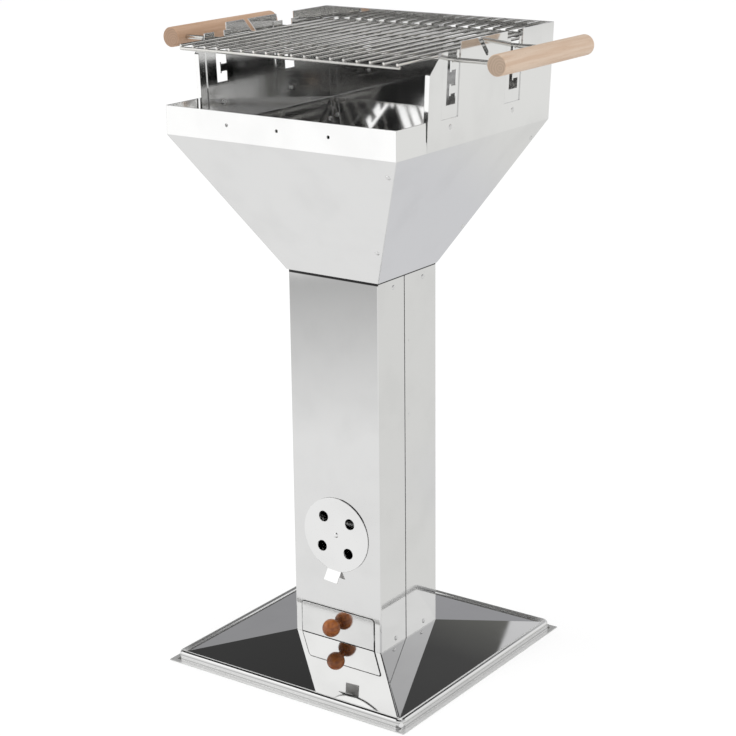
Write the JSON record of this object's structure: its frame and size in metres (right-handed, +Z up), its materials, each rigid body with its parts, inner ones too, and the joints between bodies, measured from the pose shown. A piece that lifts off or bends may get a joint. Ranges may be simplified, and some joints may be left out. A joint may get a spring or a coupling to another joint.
{
  "type": "park barbecue grill pedestal",
  "caption": "Column barbecue in mirror steel: pyramid base, square duct with ash drawer and air vent, funnel hopper with slotted raised sides, and a wire grate with round wooden grips.",
  "frame": {"origin": "middle of the base's floor face", "axes": "+X to the right along the front, +Y to the back, +Z up"},
  "size_m": [0.554, 0.408, 0.898],
  "materials": {
    "stainless_sheet": "mirror polish",
    "stainless_wire": "bright drawn",
    "stainless_fastener": "bright",
    "oiled_beech": "pale, satin",
    "varnished_knob_wood": "varnished"
  },
  "bodies": {
    "stand": {"base_plate": "stainless_sheet", "column_front": "stainless_sheet", "column_rear": "stainless_sheet", "hopper_front": "stainless_sheet", "hopper_left": "stainless_sheet", "hopper_right": "stainless_sheet", "hopper_rear": "stainless_sheet", "ladder_left_front": "stainless_sheet", "ladder_left_rear": "stainless_sheet", "ladder_right_front": "stainless_sheet", "ladder_right_rear": "stainless_sheet", "hopper_rivets": "stainless_fastener", "ladder_rivets": "stainless_fastener", "column_head_screws": "stainless_fastener", "column_foot_screws": "stainless_fastener", "vent_spacer": "stainless_fastener", "vent_rivet": "stainless_fastener"},
    "vent": {"vent_disc": "stainless_sheet"},
    "drawer": {"ash_drawer": "stainless_sheet", "drawer_knob": "varnished_knob_wood", "knob_screw": "stainless_fastener"},
    "cooking_grid": {"cooking_grate": "stainless_wire", "grate_rods": "stainless_wire", "grip_left": "oiled_beech", "grip_right": "oiled_beech"},
    "charcoal_grid": {"charcoal_grate": "stainless_wire"}
  },
  "joints": [
    {"name": "vent_turn", "type": "hinge", "parent": "stand", "child": "vent", "pos_m": [0, -0.0708, 0.195], "axis": [0, 1, 0], "range_deg": [-45, 45]},
    {"name": "drawer_slide", "type": "slide", "parent": "stand", "child": "drawer", "axis": [0, -1, 0], "range_m": [0, 0.12]},
    {"name": "cooking_grid_lift", "type": "slide", "parent": "stand", "child": "cooking_grid", "axis": [0, 0, 1], "range_m": [0, 0.06]},
    {"name": "charcoal_grid_lift", "type": "slide", "parent": "stand", "child": "charcoal_grid", "axis": [0, 0, 1], "range_m": [0, 0.2]}
  ]
}
